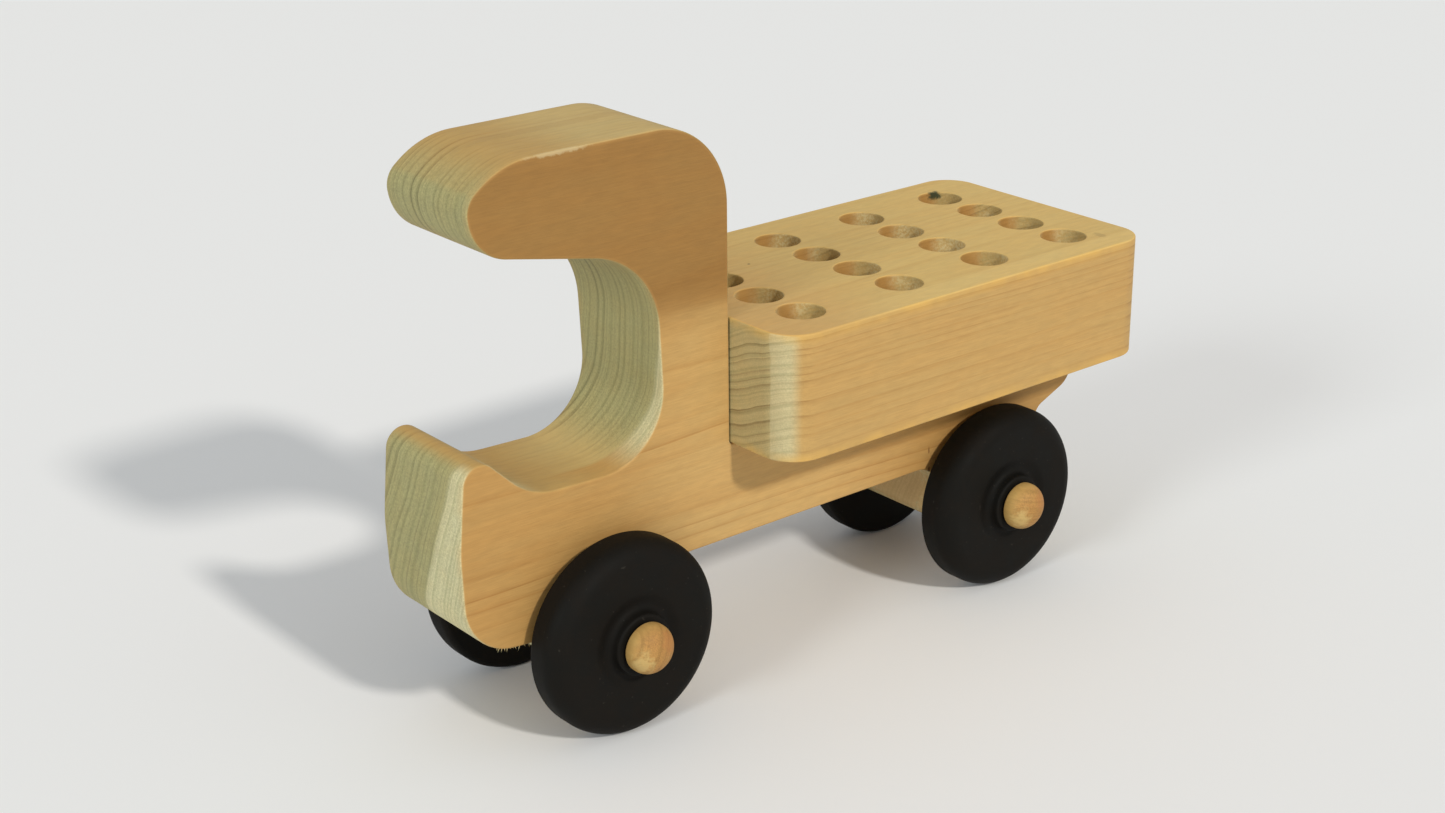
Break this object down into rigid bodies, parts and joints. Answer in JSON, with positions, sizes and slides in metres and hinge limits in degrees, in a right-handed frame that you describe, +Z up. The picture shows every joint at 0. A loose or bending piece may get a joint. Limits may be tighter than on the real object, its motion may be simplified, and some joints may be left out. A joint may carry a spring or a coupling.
{
  "type": "wooden toy truck",
  "caption": "Wooden toy truck: an open cab and chassis sawn from one plank, a solid bed drilled with crayon holes, and painted wheels that turn on glued wooden axle pegs.",
  "frame": {"origin": "centre of the footprint's bounding box, on the ground under the wheels", "axes": "+X forward, towards the bumper; +Y to the truck's left; +Z up"},
  "size_m": [0.2428, 0.0888, 0.1691],
  "materials": {
    "poplar_body": "sanded poplar with a thin oil finish, satin",
    "poplar_bed": "sanded poplar with a thin oil finish, satin",
    "peg_wood": "turned birch with a thin oil finish, satin",
    "dowel_wood": "raw birch dowel",
    "wheel_paint": "turned wood painted matte black"
  },
  "bodies": {
    "truck": {"cab_and_chassis": "poplar_body", "bed_block": "poplar_bed", "bed_dowel_front": "dowel_wood", "bed_dowel_rear": "dowel_wood", "axle_peg_front_left": "peg_wood", "axle_peg_front_right": "peg_wood", "axle_peg_rear_left": "peg_wood", "axle_peg_rear_right": "peg_wood"},
    "front_left_wheel": {"wheel_front_left": "wheel_paint"},
    "front_right_wheel": {"wheel_front_right": "wheel_paint"},
    "rear_left_wheel": {"wheel_rear_left": "wheel_paint"},
    "rear_right_wheel": {"wheel_rear_right": "wheel_paint"}
  },
  "joints": [
    {"name": "front_left_wheel_spin", "type": "hinge", "parent": "truck", "child": "front_left_wheel", "pos_m": [0.07389, 0.02798, 0.0293], "axis": [0, 1, 0], "continuous": true},
    {"name": "front_right_wheel_spin", "type": "hinge", "parent": "truck", "child": "front_right_wheel", "pos_m": [0.07389, -0.02798, 0.0293], "axis": [0, 1, 0], "continuous": true},
    {"name": "rear_left_wheel_spin", "type": "hinge", "parent": "truck", "child": "rear_left_wheel", "pos_m": [-0.07501, 0.02798, 0.0293], "axis": [0, 1, 0], "continuous": true},
    {"name": "rear_right_wheel_spin", "type": "hinge", "parent": "truck", "child": "rear_right_wheel", "pos_m": [-0.07501, -0.02798, 0.0293], "axis": [0, 1, 0], "continuous": true}
  ]
}
